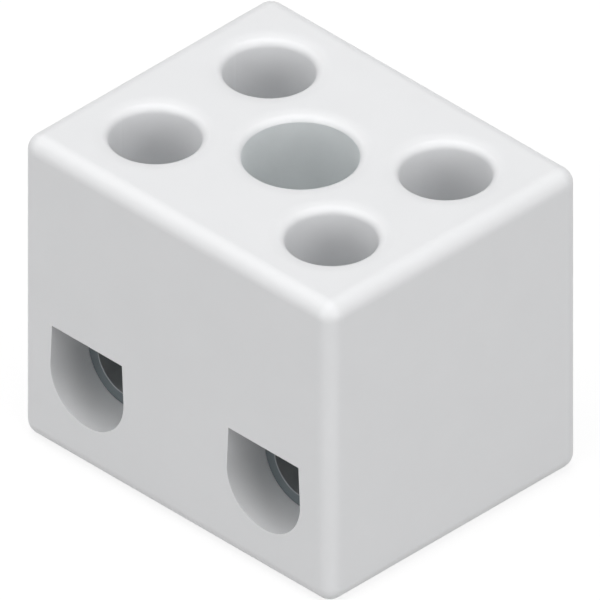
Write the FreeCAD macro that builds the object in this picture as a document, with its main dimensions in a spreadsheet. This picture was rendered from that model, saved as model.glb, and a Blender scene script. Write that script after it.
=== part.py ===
import FreeCAD, Part
import math
import os
import Sketcher

# Two-pole porcelain terminal block, in millimetres.
# +X runs from the left pole to the right pole, -Y is the front with its two wire entries, +Z is up.
# The origin is the middle of the flat underside.

doc = FreeCAD.newDocument("TerminalBlock")
sheet = doc.addObject("Spreadsheet::Sheet", "Dimensions")

# Driving dimensions: name, size and what it measures
DIMENSIONS = (
    ("block_depth", 17.9, "porcelain from front face to rear face"),
    ("block_height", 18.4, "porcelain from underside to top face"),
    ("side_wall", 2.14, "porcelain outside each channel"),
    ("channel_web", 0.5, "porcelain between a channel and the seat of the sleeve"),
    ("floor_wall", 2.655, "porcelain under each channel"),
    ("edge_round", 0.9, "round on every outer edge of the porcelain"),
    ("rim_round", 0.42, "round from the wall of a hole into its rim"),
    ("rim_fall", 0.045, "fall of the shallow dish around that round"),
    ("rim_reach", 0.85, "wall of a hole to where its dish meets the flat face"),
    ("entry_width", 5.22, "channel at its axis, twice the radius of its floor"),
    ("entry_top_width", 5.0, "channel at its flat roof"),
    ("entry_rise", 2.42, "flat roof of the channel above its axis"),
    ("access_hole_diameter", 4.75, "screwdriver hole over each clamp screw"),
    ("fixing_hole_diameter", 6.02, "hole through the middle, where the round of its rim turns upright"),
    ("sleeve_shoulder", 0.34, "shoulder over the sleeve below the top face"),
    ("sleeve_set_back", 0.015, "inside of the sleeve behind that hole"),
    ("sleeve_wall", 0.16, "metal of the sleeve in the fixing hole"),
    ("sleeve_clearance", 0.005, "gap around the sleeve and over it"),
    ("sleeve_end_gap", 0.335, "lower end of the sleeve above the underside"),
    ("insert_recess", 2.68, "insert end behind the face of the porcelain"),
    ("insert_clearance", 0.05, "gap around a clamp insert in its channel"),
    ("insert_bore_diameter", 3.82, "wire bore of a clamp insert"),
    ("insert_bore_chamfer", 0.03, "chamfer at each mouth of the wire bore"),
    ("screw_end_distance", 2.2, "insert end to the axis of the nearest screw"),
    ("screw_diameter", 2.9, "shank of a clamp screw"),
    ("screw_length", 4.0, "shank of a clamp screw under its head"),
    ("screw_tip_chamfer", 0.2, "chamfer at the tip of a clamp screw"),
    ("screw_tip_gap", 0.03, "tip of a backed-out screw above the wire bore"),
    ("thread_clearance", 0.05, "gap around a screw in the hole of its insert"),
    ("head_clearance", 0.175, "gap around a screw head in its access hole"),
    ("head_height", 2.0, "head of a clamp screw"),
    ("head_round", 0.25, "round on the upper edge of a screw head"),
    ("slot_width", 0.8, "driver slot of a clamp screw"),
    ("slot_depth", 1.0, "driver slot of a clamp screw"),
)

for row, (alias, size, meaning) in enumerate(DIMENSIONS, start=1):
    sheet.set(f"A{row}", alias)
    sheet.set(f"B{row}", str(size))
    sheet.set(f"C{row}", meaning)
    sheet.setAlias(f"B{row}", alias)
doc.recompute()

# Lengths that several pieces share, as expressions of the driving dimensions
BLOCK_DEPTH = "Dimensions.block_depth"
BLOCK_HEIGHT = "Dimensions.block_height"
ENTRY_RADIUS = "Dimensions.entry_width / 2"
SLEEVE_BORE_RADIUS = "(Dimensions.fixing_hole_diameter / 2 + Dimensions.sleeve_set_back)"
SLEEVE_RADIUS = f"({SLEEVE_BORE_RADIUS} + Dimensions.sleeve_wall)"
SEAT_DIAMETER = f"2 * ({SLEEVE_RADIUS} + Dimensions.sleeve_clearance)"
SEAT_HEIGHT = f"({BLOCK_HEIGHT} - Dimensions.sleeve_shoulder)"
POLE_OFFSET = f"({SEAT_DIAMETER} / 2 + Dimensions.channel_web + {ENTRY_RADIUS})"
BLOCK_LENGTH = f"2 * ({POLE_OFFSET} + {ENTRY_RADIUS} + Dimensions.side_wall)"
AXIS_HEIGHT = f"(Dimensions.floor_wall + {ENTRY_RADIUS})"
INSERT_LENGTH = f"({BLOCK_DEPTH} - 2 * Dimensions.insert_recess)"
SCREW_OFFSET = f"({INSERT_LENGTH} / 2 - Dimensions.screw_end_distance)"
TIP_HEIGHT = f"({AXIS_HEIGHT} + Dimensions.insert_bore_diameter / 2 + Dimensions.screw_tip_gap)"
RIM_ROUND = "Dimensions.rim_round"
RIM_REACH = "Dimensions.rim_reach"
HEAD_DIAMETER = "(Dimensions.access_hole_diameter - 2 * Dimensions.head_clearance)"
SCREW_HEIGHT = "(Dimensions.screw_length + Dimensions.head_height)"

# How a sketch names its own origin and axes, and the points of a line or an arc
HORIZONTAL_AXIS, VERTICAL_AXIS = range(-1, -3, -1)
START, END, CENTRE = range(1, 4)
ORIGIN_POINT = (HORIZONTAL_AXIS, START)

# Two lengths closer than this are the same
SAME = 1e-6

# A cut that runs out through a face is drawn this much longer than the piece
RUN_OUT = "1.2"


def value(expression):
    return float(sheet.evalExpression(expression))


def new_body(label):
    body = doc.addObject("PartDesign::Body", label)
    body.Label = label
    return body


def origin_feature(body, role):
    return next(item for item in body.Origin.OriginFeatures if item.Role == role)


def new_sketch(body, name, plane, **offsets):
    """A sketch on one of the body's own planes, with its x, y or z offset given as an expression."""
    sketch = body.newObject("Sketcher::SketchObject", name)
    sketch.AttachmentSupport = [(origin_feature(body, plane), "")]
    sketch.MapMode = "FlatFace"
    for axis, expression in offsets.items():
        sketch.setExpression(f".AttachmentOffset.Base.{axis}", expression)
    return sketch


def constrain(sketch, name, kind, *where, expression):
    """A named constraint of a sketch, bound to the sheet."""
    index = sketch.addConstraint(Sketcher.Constraint(kind, *where, value(expression)))
    sketch.renameConstraint(index, name)
    sketch.setExpression(f"Constraints.{name}", expression)


def draw_loop(sketch, points):
    """Straight sides from point to point and back to the first."""
    corners = [FreeCAD.Vector(*point) for point in points]
    following = [*corners[1:], corners[0]]
    sides = [Part.LineSegment(*ends) for ends in zip(corners, following)]
    numbers = sketch.addGeometry(sides, False)
    for first, second in zip(numbers, (*numbers[1:], numbers[0])):
        sketch.addConstraint(Sketcher.Constraint("Coincident", first, END, second, START))
    return numbers


def draw_circle(sketch, name, diameter):
    """A circle about the sketch's origin."""
    circle = Part.Circle(FreeCAD.Vector(), FreeCAD.Vector(0, 0, 1), value(diameter) / 2)
    index = sketch.addGeometry(circle, False)
    sketch.addConstraint(Sketcher.Constraint("Coincident", index, CENTRE, *ORIGIN_POINT))
    constrain(sketch, name, "Diameter", index, expression=diameter)


def draw_rectangle(sketch, width, depth):
    """A rectangle about the sketch's origin."""
    x, y = value(width) / 2, value(depth) / 2
    low, right, high, left = draw_loop(sketch, ((-x, -y), (x, -y), (x, y), (-x, y)))
    for side in (low, high):
        sketch.addConstraint(Sketcher.Constraint("Horizontal", side))
    for side in (left, right):
        sketch.addConstraint(Sketcher.Constraint("Vertical", side))
    sketch.addConstraint(Sketcher.Constraint("Symmetric", low, START, high, START, *ORIGIN_POINT))
    constrain(sketch, "Width", "DistanceX", low, START, low, END, expression=width)
    constrain(sketch, "Depth", "DistanceY", right, START, right, END, expression=depth)


def draw_channel_section(sketch, clearance="0"):
    """The flat-roofed, round-floored section of a channel about its axis, drawn in by a clearance.
    Its sides lean in a little towards the roof and run tangent into the floor."""
    radius = f"{ENTRY_RADIUS} - {clearance}"
    roof_width = f"Dimensions.entry_top_width - 2 * {clearance}"
    roof_height = f"Dimensions.entry_rise - {clearance}"
    half_roof, rise = value(roof_width) / 2, value(roof_height)
    corner_distance = math.hypot(half_roof, rise)
    lean = math.atan2(rise, half_roof) - math.acos(value(radius) / corner_distance)
    floor_circle = Part.Circle(FreeCAD.Vector(), FreeCAD.Vector(0, 0, 1), value(radius))
    floor_arc = Part.ArcOfCircle(floor_circle, math.pi - lean, 2 * math.pi + lean)
    left_corner = FreeCAD.Vector(-half_roof, rise)
    right_corner = FreeCAD.Vector(half_roof, rise)
    floor, right, roof, left = sketch.addGeometry(
        [
            floor_arc,
            Part.LineSegment(floor_arc.EndPoint, right_corner),
            Part.LineSegment(right_corner, left_corner),
            Part.LineSegment(left_corner, floor_arc.StartPoint),
        ],
        False,
    )
    sketch.addConstraint(Sketcher.Constraint("Coincident", floor, CENTRE, *ORIGIN_POINT))
    sketch.addConstraint(Sketcher.Constraint("Tangent", floor, END, right, START))
    sketch.addConstraint(Sketcher.Constraint("Coincident", right, END, roof, START))
    sketch.addConstraint(Sketcher.Constraint("Coincident", roof, END, left, START))
    sketch.addConstraint(Sketcher.Constraint("Tangent", left, END, floor, START))
    sketch.addConstraint(Sketcher.Constraint("Symmetric", roof, START, roof, END, VERTICAL_AXIS))
    constrain(sketch, "FloorRadius", "Radius", floor, expression=radius)
    constrain(sketch, "RoofWidth", "DistanceX", roof, END, roof, START, expression=roof_width)
    constrain(sketch, "RoofHeight", "DistanceY", *ORIGIN_POINT, roof, START, expression=roof_height)


def rim_arcs(radius):
    """The rim of a hole in half section, whose wall stands at the radius and whose face lies level
    at the origin's height: a round, and a shallow dish that runs from it tangent into the face."""
    round_radius, fall = value(RIM_ROUND), value("Dimensions.rim_fall")
    run = value(RIM_REACH) - round_radius
    dish_radius = (run**2 + fall**2 + 2 * fall * round_radius) / (2 * fall)
    turn = math.asin(run / (dish_radius - round_radius))
    upright, normal = math.pi / 2, FreeCAD.Vector(0, 0, 1)
    round_centre = FreeCAD.Vector(radius + round_radius, -round_radius - fall)
    dish_centre = FreeCAD.Vector(radius + value(RIM_REACH), -dish_radius)
    round_circle = Part.Circle(round_centre, normal, round_radius)
    dish_circle = Part.Circle(dish_centre, normal, dish_radius)
    return (
        Part.ArcOfCircle(round_circle, upright + turn, math.pi),
        Part.ArcOfCircle(dish_circle, upright, upright + turn),
    )


def draw_hole_section(sketch, hole_diameter, hole_depth):
    """Half the section of a round hole, sunk from the level face at the sketch's origin."""
    radius, depth, above = value(hole_diameter) / 2, value(hole_depth), value(RIM_REACH)
    round_arc, dish_arc = rim_arcs(radius)
    lid_corner = FreeCAD.Vector(radius + above, above)
    lid_middle = FreeCAD.Vector(0, above)
    floor_middle = FreeCAD.Vector(0, -depth)
    floor_corner = FreeCAD.Vector(radius, -depth)
    wall, lip, dish, rise, lid, axis, floor = sketch.addGeometry(
        [
            Part.LineSegment(floor_corner, round_arc.EndPoint),
            round_arc,
            dish_arc,
            Part.LineSegment(dish_arc.StartPoint, lid_corner),
            Part.LineSegment(lid_corner, lid_middle),
            Part.LineSegment(lid_middle, floor_middle),
            Part.LineSegment(floor_middle, floor_corner),
        ],
        False,
    )
    for kind, *where in (
        ("Tangent", wall, END, lip, END),
        ("Tangent", lip, START, dish, END),
        ("Coincident", dish, START, rise, START),
        ("Coincident", rise, END, lid, START),
        ("Coincident", lid, END, axis, START),
        ("Coincident", axis, END, floor, START),
        ("Coincident", floor, END, wall, START),
        ("Vertical", wall),
        ("Vertical", rise),
        ("Vertical", axis),
        ("Horizontal", lid),
        ("Horizontal", floor),
        ("Vertical", dish, CENTRE, dish, START),
        ("PointOnObject", dish, START, HORIZONTAL_AXIS),
        ("PointOnObject", axis, START, VERTICAL_AXIS),
    ):
        sketch.addConstraint(Sketcher.Constraint(kind, *where))
    for name, kind, where, size in (
        ("RoundRadius", "Radius", (lip,), RIM_ROUND),
        ("RoundBottom", "DistanceY", (wall, END, *ORIGIN_POINT), f"{RIM_ROUND} + Dimensions.rim_fall"),
        ("HoleRadius", "DistanceX", (floor, START, floor, END), f"{hole_diameter} / 2"),
        ("Reach", "DistanceX", (wall, END, dish, START), RIM_REACH),
        ("Above", "DistanceY", (rise, START, rise, END), RIM_REACH),
        ("Depth", "DistanceY", (floor, START, *ORIGIN_POINT), hole_depth),
    ):
        constrain(sketch, name, kind, *where, expression=size)


def pad(body, name, sketch, length, symmetric=False):
    feature = body.newObject("PartDesign::Pad", name)
    feature.Profile = sketch
    feature.SideType = "Symmetric" if symmetric else "One side"
    feature.setExpression("Length", length)
    doc.recompute()
    return feature


def pocket(body, name, sketch, depth, symmetric=False, along_normal=False):
    """A cut against the sketch's normal, along it, or to both sides."""
    volume_before = body.Shape.Volume
    feature = body.newObject("PartDesign::Pocket", name)
    feature.Profile = sketch
    feature.SideType = "Symmetric" if symmetric else "One side"
    feature.Reversed = along_normal
    feature.setExpression("Length", depth)
    doc.recompute()
    if not feature.Shape.Volume < volume_before:
        raise RuntimeError(f"{name} cuts nothing from {body.Label}")
    return feature


def sink_hole(body, name, sketch):
    """A cut turned about the upright axis of its sketch."""
    volume_before = body.Shape.Volume
    feature = body.newObject("PartDesign::Groove", name)
    feature.Profile = sketch
    feature.ReferenceAxis = (sketch, ["V_Axis"])
    feature.Angle = 360
    doc.recompute()
    if not feature.Shape.Volume < volume_before:
        raise RuntimeError(f"{name} cuts nothing from {body.Label}")
    return feature


def mirror(body, name, plane, original=None):
    feature = body.newObject("PartDesign::Mirrored", name)
    feature.MirrorPlane = (origin_feature(body, plane), [""])
    if original:
        feature.Originals = [original]
        body.Tip = feature
        doc.recompute()
    return feature


def dress(body, kind, name, size_property, size, chosen):
    """A fillet or chamfer on the edges of the body's last feature that the chosen test accepts.
    The point where a rounded corner closes has an edge of no length, which is left out."""
    base = body.Tip
    edges = [
        f"Edge{number}"
        for number, edge in enumerate(base.Shape.Edges, start=1)
        if not edge.Degenerated and chosen(edge)
    ]
    feature = body.newObject(f"PartDesign::{kind}", name)
    feature.Base = (base, edges)
    feature.setExpression(size_property, size)
    doc.recompute()
    return feature


def is_circle(edge, diameter):
    return isinstance(edge.Curve, Part.Circle) and abs(2 * edge.Curve.Radius - value(diameter)) < SAME


# Porcelain block: one casting with rounded outer edges
def make_ceramic_body():
    body = new_body("ceramic_body")
    outline = new_sketch(body, "BlockOutline", "XY_Plane")
    draw_rectangle(outline, BLOCK_LENGTH, BLOCK_DEPTH)
    pad(body, "Block", outline, BLOCK_HEIGHT)
    dress(body, "Fillet", "OuterRounds", "Radius", "Dimensions.edge_round", lambda edge: True)

    # A channel runs from front to rear through each pole
    section = new_sketch(body, "ChannelSection", "XZ_Plane", x=POLE_OFFSET, y=AXIS_HEIGHT)
    draw_channel_section(section)
    channel = pocket(body, "RightChannel", section, f"{RUN_OUT} * {BLOCK_DEPTH}", symmetric=True)
    mirror(body, "LeftChannel", "YZ_Plane", channel)

    # Four access holes drop from the top face into the channels, over the clamp screws
    section = new_sketch(
        body, "AccessSection", "XZ_Plane", x=POLE_OFFSET, y=BLOCK_HEIGHT, z=SCREW_OFFSET
    )
    access_depth = f"{BLOCK_HEIGHT} - {AXIS_HEIGHT}"
    draw_hole_section(section, "Dimensions.access_hole_diameter", access_depth)
    access = sink_hole(body, "AccessHole", section)
    four_holes = body.newObject("PartDesign::MultiTransform", "FourAccessHoles")
    four_holes.Originals = [access]
    four_holes.Transformations = [
        mirror(body, "OtherPole", "YZ_Plane"),
        mirror(body, "OtherEnd", "XZ_Plane"),
    ]
    body.Tip = four_holes
    doc.recompute()

    # The fixing hole runs right through the middle, wider below a shoulder under its upper rim
    section = new_sketch(body, "FixingSection", "XZ_Plane", y=BLOCK_HEIGHT)
    draw_hole_section(section, "Dimensions.fixing_hole_diameter", BLOCK_HEIGHT)
    sink_hole(body, "FixingHole", section)
    circle = new_sketch(body, "SeatCircle", "XY_Plane")
    draw_circle(circle, "SeatDiameter", SEAT_DIAMETER)
    pocket(body, "SleeveSeat", circle, SEAT_HEIGHT, along_normal=True)
    dress(
        body, "Fillet", "LowerRimRound", "Radius", RIM_ROUND,
        lambda edge: is_circle(edge, SEAT_DIAMETER) and edge.BoundBox.ZMax < SAME,
    )
    return body


# Fixing sleeve: a thin metal tube lining the fixing hole, pushed in from below up to the shoulder
def make_fixing_sleeve():
    body = new_body("fixing_sleeve")
    rings = new_sketch(body, "SleeveCircles", "XY_Plane", z="Dimensions.sleeve_end_gap")
    draw_circle(rings, "OuterDiameter", f"2 * {SLEEVE_RADIUS}")
    draw_circle(rings, "BoreDiameter", f"2 * {SLEEVE_BORE_RADIUS}")
    length = f"{SEAT_HEIGHT} - Dimensions.sleeve_clearance - Dimensions.sleeve_end_gap"
    pad(body, "Sleeve", rings, length)
    return body


# Clamp insert: a metal bar of the channel's section, bored for the wires and tapped for two screws
def make_terminal_insert(side, direction):
    body = new_body(f"terminal_insert_{side}")
    section = new_sketch(body, f"{side}_InsertSection", "XZ_Plane")
    draw_channel_section(section, "Dimensions.insert_clearance")
    draw_circle(section, "BoreDiameter", "Dimensions.insert_bore_diameter")
    pad(body, f"{side}_Bar", section, INSERT_LENGTH, symmetric=True)
    dress(
        body, "Chamfer", f"{side}_BoreMouths", "Size", "Dimensions.insert_bore_chamfer",
        lambda edge: is_circle(edge, "Dimensions.insert_bore_diameter"),
    )
    circle = new_sketch(body, f"{side}_ScrewCircle", "XY_Plane", y=SCREW_OFFSET)
    draw_circle(circle, "HoleDiameter", "Dimensions.screw_diameter + 2 * Dimensions.thread_clearance")
    hole = pocket(
        body, f"{side}_ScrewHole", circle, "Dimensions.entry_rise", along_normal=True
    )
    mirror(body, f"{side}_OtherScrewHole", "XZ_Plane", hole)
    body.setExpression("Placement.Base.x", f"{direction} * {POLE_OFFSET}")
    body.setExpression("Placement.Base.z", AXIS_HEIGHT)
    return body


# Clamp screw: turned with a slotted head, backed out until its tip clears the wire bore
def make_clamp_screw(side, direction, end, end_direction, slot_turn):
    name = f"{side}_{end}"
    body = new_body(f"clamp_screw_{name}")
    shank = new_sketch(body, f"{name}_ShankCircle", "XY_Plane")
    draw_circle(shank, "ShankDiameter", "Dimensions.screw_diameter")
    pad(body, f"{name}_Shank", shank, SCREW_HEIGHT)
    dress(
        body, "Chamfer", f"{name}_Tip", "Size", "Dimensions.screw_tip_chamfer",
        lambda edge: is_circle(edge, "Dimensions.screw_diameter") and edge.BoundBox.ZMax < SAME,
    )
    head = new_sketch(body, f"{name}_HeadCircle", "XY_Plane", z="Dimensions.screw_length")
    draw_circle(head, "HeadDiameter", HEAD_DIAMETER)
    pad(body, f"{name}_Head", head, "Dimensions.head_height")
    dress(
        body, "Fillet", f"{name}_HeadRound", "Radius", "Dimensions.head_round",
        lambda edge: is_circle(edge, HEAD_DIAMETER)
        and abs(edge.BoundBox.ZMax - value(SCREW_HEIGHT)) < SAME,
    )
    slot = new_sketch(body, f"{name}_SlotOutline", "XY_Plane", z=SCREW_HEIGHT)
    draw_rectangle(slot, f"{RUN_OUT} * {HEAD_DIAMETER}", "Dimensions.slot_width")
    pocket(body, f"{name}_Slot", slot, "Dimensions.slot_depth")
    turn = FreeCAD.Rotation(FreeCAD.Vector(0, 0, 1), slot_turn)
    body.Placement = FreeCAD.Placement(FreeCAD.Vector(), turn)
    body.setExpression("Placement.Base.x", f"{direction} * {POLE_OFFSET}")
    body.setExpression("Placement.Base.y", f"{end_direction} * {SCREW_OFFSET}")
    body.setExpression("Placement.Base.z", TIP_HEIGHT)
    return body


POLES = (("left", -1), ("right", 1))
ENDS = (("front", -1), ("rear", 1))
# Each slot stops where its screw happened to be backed out to, in degrees from +X
SLOT_TURNS = {
    ("left", "front"): 24,
    ("left", "rear"): 98,
    ("right", "front"): -37,
    ("right", "rear"): 61,
}

pieces = [make_ceramic_body(), make_fixing_sleeve()]
for side, direction in POLES:
    pieces.append(make_terminal_insert(side, direction))
    for end, end_direction in ENDS:
        slot_turn = SLOT_TURNS[side, end]
        pieces.append(make_clamp_screw(side, direction, end, end_direction, slot_turn))
doc.recompute()

# Nothing is written unless every feature recomputed and every piece is one sound solid
for item in doc.Objects:
    if {"Invalid", "Error"} & set(item.State):
        raise RuntimeError(f"{item.Label} is {item.State}")
for piece in pieces:
    shape = piece.Shape
    if shape.isNull() or not shape.isValid() or len(shape.Solids) != 1:
        raise RuntimeError(f"{piece.Label} is not one valid solid")

os.makedirs("parts", exist_ok=True)
for piece in pieces:
    piece.Shape.exportStep(os.path.join("parts", f"{piece.Label}.step"))
    print(f"{piece.Label}: {piece.Shape.Volume:.2f} cubic millimetres")
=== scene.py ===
import math

import bmesh
import bpy
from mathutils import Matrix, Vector


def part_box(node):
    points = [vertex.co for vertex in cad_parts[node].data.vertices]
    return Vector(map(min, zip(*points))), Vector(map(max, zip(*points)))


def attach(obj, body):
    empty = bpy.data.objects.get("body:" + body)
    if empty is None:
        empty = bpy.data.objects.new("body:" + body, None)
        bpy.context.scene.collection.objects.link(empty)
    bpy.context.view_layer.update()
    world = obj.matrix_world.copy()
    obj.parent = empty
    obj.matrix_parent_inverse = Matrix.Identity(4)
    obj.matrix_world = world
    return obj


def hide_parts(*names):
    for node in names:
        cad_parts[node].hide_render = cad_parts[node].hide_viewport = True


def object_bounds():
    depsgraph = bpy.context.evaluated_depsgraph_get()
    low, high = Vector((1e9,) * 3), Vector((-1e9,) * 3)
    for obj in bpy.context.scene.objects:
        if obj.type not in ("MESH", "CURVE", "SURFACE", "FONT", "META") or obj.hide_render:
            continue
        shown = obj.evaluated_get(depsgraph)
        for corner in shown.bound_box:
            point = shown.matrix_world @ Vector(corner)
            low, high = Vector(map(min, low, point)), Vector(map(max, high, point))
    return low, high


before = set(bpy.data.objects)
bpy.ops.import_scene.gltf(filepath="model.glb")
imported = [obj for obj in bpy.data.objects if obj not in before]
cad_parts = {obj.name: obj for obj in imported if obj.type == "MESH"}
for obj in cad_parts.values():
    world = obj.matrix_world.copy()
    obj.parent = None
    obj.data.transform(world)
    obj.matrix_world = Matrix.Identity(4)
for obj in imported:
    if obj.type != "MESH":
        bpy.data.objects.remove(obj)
cad_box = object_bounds()

# Porcelain terminal block in metres: +X runs from the left pole to the right, -Y is the front, +Z is up
MM = 0.001
lowest, highest = (Vector(corner) for corner in cad_box)
BLOCK_CENTRE = (lowest + highest) / 2

# The photograph's frame: a level isometric view with no perspective
IMAGE_WIDTH = 600
PIXELS_PER_METRE = 19807
VIEW_DIRECTION = Vector((-1, 1, -1)).normalized()
SCREEN_RIGHT = Vector((1, 1, 0)).normalized()
BLOCK_CENTRE_PIXEL_X = 300.5
CAMERA_DISTANCE = 0.3
CAMERA_NEAR = 0.01
CAMERA_FAR = 10

# Softboxes: name, degrees round from +X and up from level that each shines from, strength, degrees across
LAMPS = (
    ("front_low_softbox", 270, 12, 1.47, 50),
    ("right_low_softbox", 0, 12, 1.46, 50),
    ("right_overhead_softbox", 15, 68, 1.18, 75),
    ("left_overhead_softbox", 195, 68, 1.48, 75),
)
FLOOR_COLOUR = (0.35, 0.35, 0.35)
FLOOR_SHADOW_COLOUR = (0.22, 0.22, 0.22)
FLOOR_WHITE = 0.82
FLOOR_HALF_WIDTH = 1.0

# Clamp screws: M3 with its crests drawn in to the hole of the solid, right-hand, standing on its tip
SCREW_SIDES = 96
SHANK_RADIUS = 1.45 * MM
SHANK_LENGTH = 4.0 * MM
THREAD_PITCH = 0.5 * MM
THREAD_DEPTH = 0.3 * MM
TIP_CHAMFER = 0.2 * MM
GROOVE_WIDTH = 0.3 * MM
HEAD_RADIUS = 2.2 * MM
HEAD_HEIGHT = 2.0 * MM
HEAD_ROUND = 0.25 * MM
HEAD_ROUND_STEPS = 6
UNDER_HEAD_CHAMFER = 0.08 * MM
SLOT_WIDTH = 0.8 * MM
SLOT_DEPTH = 1.0 * MM
SLOT_ROUND = 0.1 * MM
SLOT_ROUND_STEPS = 4
SLOT_EDGE = 0.05 * MM
SLOT_CUT_REACH = 2.64 * MM
SCREW_SHARP_ANGLE = 35
WELD = 1e-8
SLOT_TURNS = {
    ("left", "front"): 24,
    ("left", "rear"): 98,
    ("right", "front"): -37,
    ("right", "rear"): 61,
}

# Wire bores: drilled along Y through the plated inserts, at one height on both poles; their walls get a
# painted lighter tint
BORE_OFFSET = 6.3 * MM
BORE_HEIGHT = 5.265 * MM
BORE_MOUTH_RADIUS = 1.945 * MM

# Materials: two tints that run into each other, a range of roughness, noise in cells to a metre
NOISE_LOW = 0.3
NOISE_HIGH = 0.7
PORCELAIN_TINTS = ((0.785, 0.79, 0.80), (0.80, 0.805, 0.815))
PORCELAIN_ROUGHNESS = (0.38, 0.44)
PORCELAIN_CLOUDS = 260
PORCELAIN_PORES = 1400
GLAZE_RELIEF = 0.02 * MM
GLAZE_IOR = 1.5
METAL_CLOUDS = 375
METAL_GRAIN = 3000
METAL_RELIEF = 0.01 * MM
INSERT_TINTS = ((0.128, 0.152, 0.162), (0.153, 0.177, 0.188))
INSERT_ROUGHNESS = (0.5, 0.6)
INSERT_METALLIC = 0.2
# Painted light: the lighter tint laid on the wire bores' walls, so they read brighter in their shade
BORE_PAINTED_LIGHT_TINTS = ((0.27, 0.285, 0.295), (0.32, 0.335, 0.345))
BORE_PAINTED_LIGHT_CLOUDS = 900
SLEEVE_TINTS = ((0.855, 0.875, 0.88), (0.89, 0.91, 0.915))
SLEEVE_ROUGHNESS = (0.4, 0.46)
SLEEVE_METALLIC = 0.65
SCREW_TINTS = ((0.58, 0.60, 0.62), (0.63, 0.65, 0.66))
SCREW_ROUGHNESS = (0.28, 0.4)


def make_camera():
    camera = bpy.data.cameras.new("camera")
    camera.type = "ORTHO"
    camera.ortho_scale = IMAGE_WIDTH / PIXELS_PER_METRE
    camera.clip_start = CAMERA_NEAR
    camera.clip_end = CAMERA_FAR
    camera_object = bpy.data.objects.new("camera", camera)
    bpy.context.scene.collection.objects.link(camera_object)
    off_centre = (BLOCK_CENTRE_PIXEL_X - IMAGE_WIDTH / 2) / PIXELS_PER_METRE
    target = BLOCK_CENTRE - SCREEN_RIGHT * off_centre
    camera_object.location = target - VIEW_DIRECTION * CAMERA_DISTANCE
    camera_object.rotation_euler = VIEW_DIRECTION.to_track_quat("-Z", "Y").to_euler()
    bpy.context.scene.camera = camera_object


def add_softbox(name, round_from_x, up, strength, spread):
    """A soft lamp far away in the direction given by two angles in degrees."""
    lamp = bpy.data.lights.new(name, "SUN")
    lamp.energy = strength
    lamp.angle = math.radians(spread)
    lamp_object = bpy.data.objects.new(name, lamp)
    bpy.context.scene.collection.objects.link(lamp_object)
    turn, tilt = math.radians(round_from_x), math.radians(up)
    towards = Vector((math.cos(turn) * math.cos(tilt), math.sin(turn) * math.cos(tilt), math.sin(tilt)))
    lamp_object.rotation_euler = (-towards).to_track_quat("-Z", "Y").to_euler()


def material_nodes(name):
    material = bpy.data.materials.new(name)
    material.use_nodes = True
    tree = material.node_tree
    return material, tree.nodes, tree.links, tree.nodes["Principled BSDF"]


def object_noise(nodes, links, scale, detail, roughness=0.5):
    """Noise in the object's own space, at so many cells to a metre."""
    place = nodes.new("ShaderNodeTexCoord")
    noise = nodes.new("ShaderNodeTexNoise")
    noise.inputs["Scale"].default_value = scale
    noise.inputs["Detail"].default_value = detail
    noise.inputs["Roughness"].default_value = roughness
    links.new(place.outputs["Object"], noise.inputs["Vector"])
    return noise.outputs["Fac"]


def remap(nodes, links, value, low, high):
    """The middle of a noise's range, spread from low to high."""
    spread = nodes.new("ShaderNodeMapRange")
    spread.inputs["From Min"].default_value = NOISE_LOW
    spread.inputs["From Max"].default_value = NOISE_HIGH
    spread.inputs["To Min"].default_value = low
    spread.inputs["To Max"].default_value = high
    links.new(value, spread.inputs["Value"])
    return spread.outputs["Result"]


def tint(nodes, links, value, tints):
    first, second = tints
    ramp = nodes.new("ShaderNodeMix")
    ramp.data_type = "RGBA"
    ramp.inputs["A"].default_value = (*first, 1)
    ramp.inputs["B"].default_value = (*second, 1)
    links.new(value, ramp.inputs["Factor"])
    return ramp.outputs["Result"]


def bump(nodes, links, height, distance, strength=1.0):
    node = nodes.new("ShaderNodeBump")
    node.inputs["Strength"].default_value = strength
    node.inputs["Distance"].default_value = distance
    links.new(height, node.inputs["Height"])
    return node.outputs["Normal"]


def make_porcelain():
    material, nodes, links, shader = material_nodes("glazed_porcelain")
    cloud = object_noise(nodes, links, PORCELAIN_CLOUDS, 3)
    colour = tint(nodes, links, remap(nodes, links, cloud, 0, 1), PORCELAIN_TINTS)
    links.new(colour, shader.inputs["Base Color"])
    pores = object_noise(nodes, links, PORCELAIN_PORES, 2)
    links.new(remap(nodes, links, pores, *PORCELAIN_ROUGHNESS), shader.inputs["Roughness"])
    links.new(bump(nodes, links, cloud, GLAZE_RELIEF), shader.inputs["Normal"])
    shader.inputs["IOR"].default_value = GLAZE_IOR
    return material


def make_plated_metal(name, tints, roughness, metallic=1.0):
    material, nodes, links, shader = material_nodes(name)
    shader.inputs["Metallic"].default_value = metallic
    cloud = object_noise(nodes, links, METAL_CLOUDS, 2)
    links.new(tint(nodes, links, remap(nodes, links, cloud, 0, 1), tints), shader.inputs["Base Color"])
    grain = object_noise(nodes, links, METAL_GRAIN, 4)
    links.new(remap(nodes, links, grain, *roughness), shader.inputs["Roughness"])
    links.new(bump(nodes, links, grain, METAL_RELIEF), shader.inputs["Normal"])
    return material


def vector_step(nodes, links, operation, vector, constant=(0, 0, 0)):
    node = nodes.new("ShaderNodeVectorMath")
    node.operation = operation
    links.new(vector, node.inputs[0])
    node.inputs[1].default_value = constant
    return node.outputs


def inside_wire_bores(nodes, links):
    """One on the walls of the wire bores and zero everywhere else."""
    place = nodes.new("ShaderNodeTexCoord").outputs["Object"]
    both_poles = vector_step(nodes, links, "ABSOLUTE", place)["Vector"]
    from_axis = vector_step(nodes, links, "SUBTRACT", both_poles, (BORE_OFFSET, 0, BORE_HEIGHT))["Vector"]
    across = vector_step(nodes, links, "MULTIPLY", from_axis, (1, 0, 1))["Vector"]
    inside = nodes.new("ShaderNodeMath")
    inside.operation = "LESS_THAN"
    links.new(vector_step(nodes, links, "LENGTH", across)["Value"], inside.inputs[0])
    inside.inputs[1].default_value = BORE_MOUTH_RADIUS
    return inside.outputs["Value"]


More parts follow.
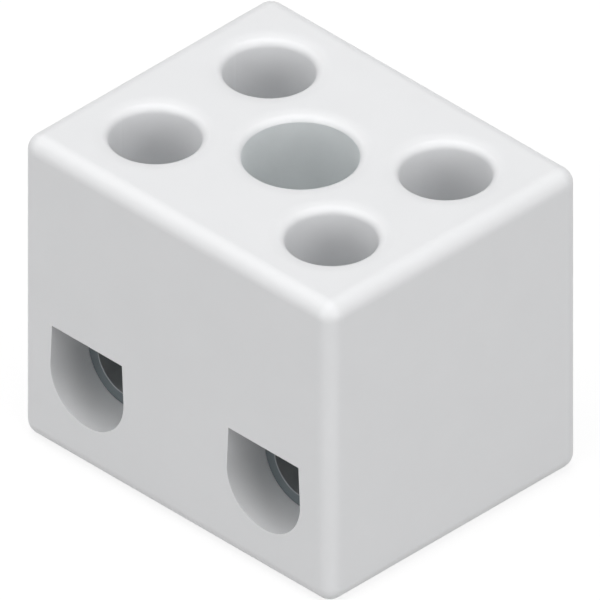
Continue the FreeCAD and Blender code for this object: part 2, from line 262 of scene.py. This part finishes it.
def paint_light_in_bores(material, tints):
    """Painted light: the bore walls get a lighter tint than the plated outside, so they read brighter in
    their shade.
    """
    nodes, links = material.node_tree.nodes, material.node_tree.links
    base_colour = nodes["Principled BSDF"].inputs["Base Color"]
    plated = base_colour.links[0].from_socket
    cloud = object_noise(nodes, links, BORE_PAINTED_LIGHT_CLOUDS, 2)
    painted_bore_light = tint(nodes, links, remap(nodes, links, cloud, 0, 1), tints)
    both = nodes.new("ShaderNodeMix")
    both.data_type = "RGBA"
    links.new(inside_wire_bores(nodes, links), both.inputs["Factor"])
    links.new(plated, both.inputs["A"])
    links.new(painted_bore_light, both.inputs["B"])
    links.new(both.outputs["Result"], base_colour)


def seen_directly(nodes, links):
    """One for what is seen, straight or in a reflection, and zero for what only gives light."""
    path = nodes.new("ShaderNodeLightPath")
    either = path.outputs["Is Camera Ray"]
    for kind in ("Is Glossy Ray", "Is Transmission Ray"):
        highest = nodes.new("ShaderNodeMath")
        highest.operation = "MAXIMUM"
        links.new(either, highest.inputs[0])
        links.new(path.outputs[kind], highest.inputs[1])
        either = highest.outputs["Value"]
    return either


def screw_profile():
    """The head of a clamp screw in half section, as (radius, height over the tip), outwards and up."""
    top = SHANK_LENGTH + HEAD_HEIGHT
    points = [
        (HEAD_RADIUS - UNDER_HEAD_CHAMFER, SHANK_LENGTH),
        (HEAD_RADIUS, SHANK_LENGTH + UNDER_HEAD_CHAMFER),
    ]
    for step in range(HEAD_ROUND_STEPS + 1):
        turn = math.pi / 2 * step / HEAD_ROUND_STEPS
        radius = HEAD_RADIUS - HEAD_ROUND * (1 - math.cos(turn))
        height = top - HEAD_ROUND * (1 - math.sin(turn))
        points.append((radius, height))
    return points


def thread_limit(height):
    """How far the thread may stand out: less in the chamfer at the tip and in the groove under the head."""
    root = SHANK_RADIUS - THREAD_DEPTH
    from_tip = SHANK_RADIUS - TIP_CHAMFER + height
    from_groove = root + max(0, SHANK_LENGTH - GROOVE_WIDTH - height)
    return min(SHANK_RADIUS, from_tip, from_groove)


def add_thread(mesh):
    """A helical strip of crest, flank, root and flank, whose turns join, held between tip and head."""
    root = SHANK_RADIUS - THREAD_DEPTH
    strip = (
        (0, SHANK_RADIUS),
        (THREAD_PITCH / 8, SHANK_RADIUS),
        (THREAD_PITCH * 7 / 16, root),
        (THREAD_PITCH * 11 / 16, root),
    )
    turns = math.ceil(SHANK_LENGTH / THREAD_PITCH) + 2
    rows = []
    for step in range(turns * SCREW_SIDES + 1):
        angle = 2 * math.pi * step / SCREW_SIDES
        base = THREAD_PITCH * (step / SCREW_SIDES - 1)
        row = []
        for offset, radius in strip:
            height = min(max(base + offset, 0), SHANK_LENGTH)
            radius = min(radius, thread_limit(height))
            row.append(mesh.verts.new((radius * math.cos(angle), radius * math.sin(angle), height)))
        rows.append(row)
    for step in range(len(rows) - 1 - SCREW_SIDES):
        here, ahead = rows[step], rows[step + 1]
        here = [*here, rows[step + SCREW_SIDES][0]]
        ahead = [*ahead, rows[step + 1 + SCREW_SIDES][0]]
        for low in range(len(strip)):
            mesh.faces.new((here[low], ahead[low], ahead[low + 1], here[low + 1]))


def add_ring(mesh, radius, height):
    return [
        mesh.verts.new((radius * math.cos(angle), radius * math.sin(angle), height))
        for angle in (2 * math.pi * side / SCREW_SIDES for side in range(SCREW_SIDES))
    ]


def join_rings(mesh, first, second):
    for side in range(SCREW_SIDES):
        following = (side + 1) % SCREW_SIDES
        mesh.faces.new((first[side], first[following], second[following], second[side]))


def make_screw_blank():
    """Threaded shank and plain head as one closed shell, tip at the origin."""
    mesh = bmesh.new()
    add_thread(mesh)
    tip = add_ring(mesh, thread_limit(0), 0)
    mesh.faces.new(reversed(tip))
    ring = add_ring(mesh, thread_limit(SHANK_LENGTH), SHANK_LENGTH)
    for radius, height in screw_profile():
        following = add_ring(mesh, radius, height)
        join_rings(mesh, ring, following)
        ring = following
    mesh.faces.new(ring)
    bmesh.ops.remove_doubles(mesh, verts=mesh.verts, dist=WELD)
    bmesh.ops.dissolve_degenerate(mesh, edges=mesh.edges, dist=WELD)
    bmesh.ops.recalc_face_normals(mesh, faces=mesh.faces)
    return mesh


def make_slot_cutter():
    """The driver slot's own form: straight walls, small rounds at its floor and broken upper edges."""
    top = SHANK_LENGTH + HEAD_HEIGHT
    floor = top - SLOT_DEPTH
    half = SLOT_WIDTH / 2
    right = []
    for step in range(SLOT_ROUND_STEPS + 1):
        turn = math.pi / 2 * step / SLOT_ROUND_STEPS
        across = half - SLOT_ROUND * (1 - math.sin(turn))
        right.append((across, floor + SLOT_ROUND * (1 - math.cos(turn))))
    right.append((half, top - SLOT_EDGE))
    right.append((half + SLOT_EDGE, top))
    right.append((half + SLOT_EDGE, top + HEAD_HEIGHT))
    outline = right + [(-across, height) for across, height in reversed(right)]
    mesh = bmesh.new()
    ends = []
    for along in (-SLOT_CUT_REACH, SLOT_CUT_REACH):
        ends.append([mesh.verts.new((along, across, height)) for across, height in outline])
    near, far = ends
    mesh.faces.new(near)
    mesh.faces.new(reversed(far))
    for corner in range(len(outline)):
        following = (corner + 1) % len(outline)
        mesh.faces.new((near[corner], far[corner], far[following], near[following]))
    bmesh.ops.recalc_face_normals(mesh, faces=mesh.faces)
    return mesh


def mesh_object(name, mesh):
    data = bpy.data.meshes.new(name)
    mesh.to_mesh(data)
    mesh.free()
    made = bpy.data.objects.new(name, data)
    bpy.context.scene.collection.objects.link(made)
    return made


def make_screw_mesh(material):
    """One slotted screw with its tip at the origin and its slot along X."""
    screw = mesh_object("screw_blank", make_screw_blank())
    cutter = mesh_object("slot_cutter", make_slot_cutter())
    cut = screw.modifiers.new("slot", "BOOLEAN")
    cut.operation = "DIFFERENCE"
    cut.solver = "EXACT"
    cut.object = cutter
    depsgraph = bpy.context.evaluated_depsgraph_get()
    finished = bpy.data.meshes.new_from_object(screw.evaluated_get(depsgraph))
    finished.name = "clamp_screw"
    finished.materials.clear()
    finished.materials.append(material)
    finished.shade_smooth()
    finished.set_sharp_from_angle(angle=math.radians(SCREW_SHARP_ANGLE))
    bpy.data.objects.remove(screw)
    bpy.data.objects.remove(cutter)
    return finished


def place_screws(mesh):
    """Each screw stands where its plain solid does, with its slot at that solid's turn."""
    for (side, end), turn in SLOT_TURNS.items():
        node = f"clamp_screw_{side}_{end}"
        low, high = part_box(node)
        screw = bpy.data.objects.new(f"threaded_screw_{side}_{end}", mesh)
        bpy.context.scene.collection.objects.link(screw)
        screw.location = ((low.x + high.x) / 2, (low.y + high.y) / 2, low.z)
        screw.rotation_euler.z = math.radians(turn)
        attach(screw, f"{side}_{end}_screw")
        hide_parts(node)


def make_floor():
    """A pale floor that reads as white where it is fully lit and keeps the block's soft shadow."""
    mesh = bpy.data.meshes.new("floor")
    half = FLOOR_HALF_WIDTH
    corners = [(-half, -half, 0), (half, -half, 0), (half, half, 0), (-half, half, 0)]
    mesh.from_pydata(corners, [], [(0, 1, 2, 3)])
    floor = bpy.data.objects.new("floor", mesh)
    bpy.context.scene.collection.objects.link(floor)
    material = bpy.data.materials.new("pale_floor")
    material.use_nodes = True
    nodes, links = material.node_tree.nodes, material.node_tree.links
    nodes.remove(nodes["Principled BSDF"])
    matt = nodes.new("ShaderNodeBsdfDiffuse")
    matt.inputs["Color"].default_value = (*FLOOR_COLOUR, 1)
    thin_matt = nodes.new("ShaderNodeBsdfDiffuse")
    thin_matt.inputs["Color"].default_value = (*FLOOR_SHADOW_COLOUR, 1)
    white = nodes.new("ShaderNodeEmission")
    white.inputs["Strength"].default_value = FLOOR_WHITE
    shown = nodes.new("ShaderNodeAddShader")
    links.new(thin_matt.outputs["BSDF"], shown.inputs[0])
    links.new(white.outputs["Emission"], shown.inputs[1])
    mix = nodes.new("ShaderNodeMixShader")
    links.new(seen_directly(nodes, links), mix.inputs["Fac"])
    links.new(matt.outputs["BSDF"], mix.inputs[1])
    links.new(shown.outputs["Shader"], mix.inputs[2])
    links.new(mix.outputs["Shader"], nodes["Material Output"].inputs["Surface"])
    mesh.materials.append(material)


def make_world():
    """A white backdrop that is only seen: all the light comes from the softboxes."""
    world = bpy.data.worlds.new("studio")
    bpy.context.scene.world = world
    world.use_nodes = True
    nodes, links = world.node_tree.nodes, world.node_tree.links
    backdrop = nodes["Background"]
    backdrop.inputs["Color"].default_value = (1, 1, 1, 1)
    links.new(seen_directly(nodes, links), backdrop.inputs["Strength"])


make_camera()
make_world()
make_floor()
for softbox in LAMPS:
    add_softbox(*softbox)

insert_metal = make_plated_metal("insert_metal", INSERT_TINTS, INSERT_ROUGHNESS, INSERT_METALLIC)
# Painted light on the wire bores' walls: a lighter tint where they lie in shade
paint_light_in_bores(insert_metal, BORE_PAINTED_LIGHT_TINTS)
sleeve_metal = make_plated_metal("sleeve_metal", SLEEVE_TINTS, SLEEVE_ROUGHNESS, SLEEVE_METALLIC)
screw_metal = make_plated_metal("screw_metal", SCREW_TINTS, SCREW_ROUGHNESS)
for node, material in (
    ("ceramic_body", make_porcelain()),
    ("fixing_sleeve", sleeve_metal),
    ("terminal_insert_left", insert_metal),
    ("terminal_insert_right", insert_metal),
):
    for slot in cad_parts[node].material_slots:
        slot.material = material
place_screws(make_screw_mesh(screw_metal))

bpy.context.scene.view_settings.view_transform = "Standard"
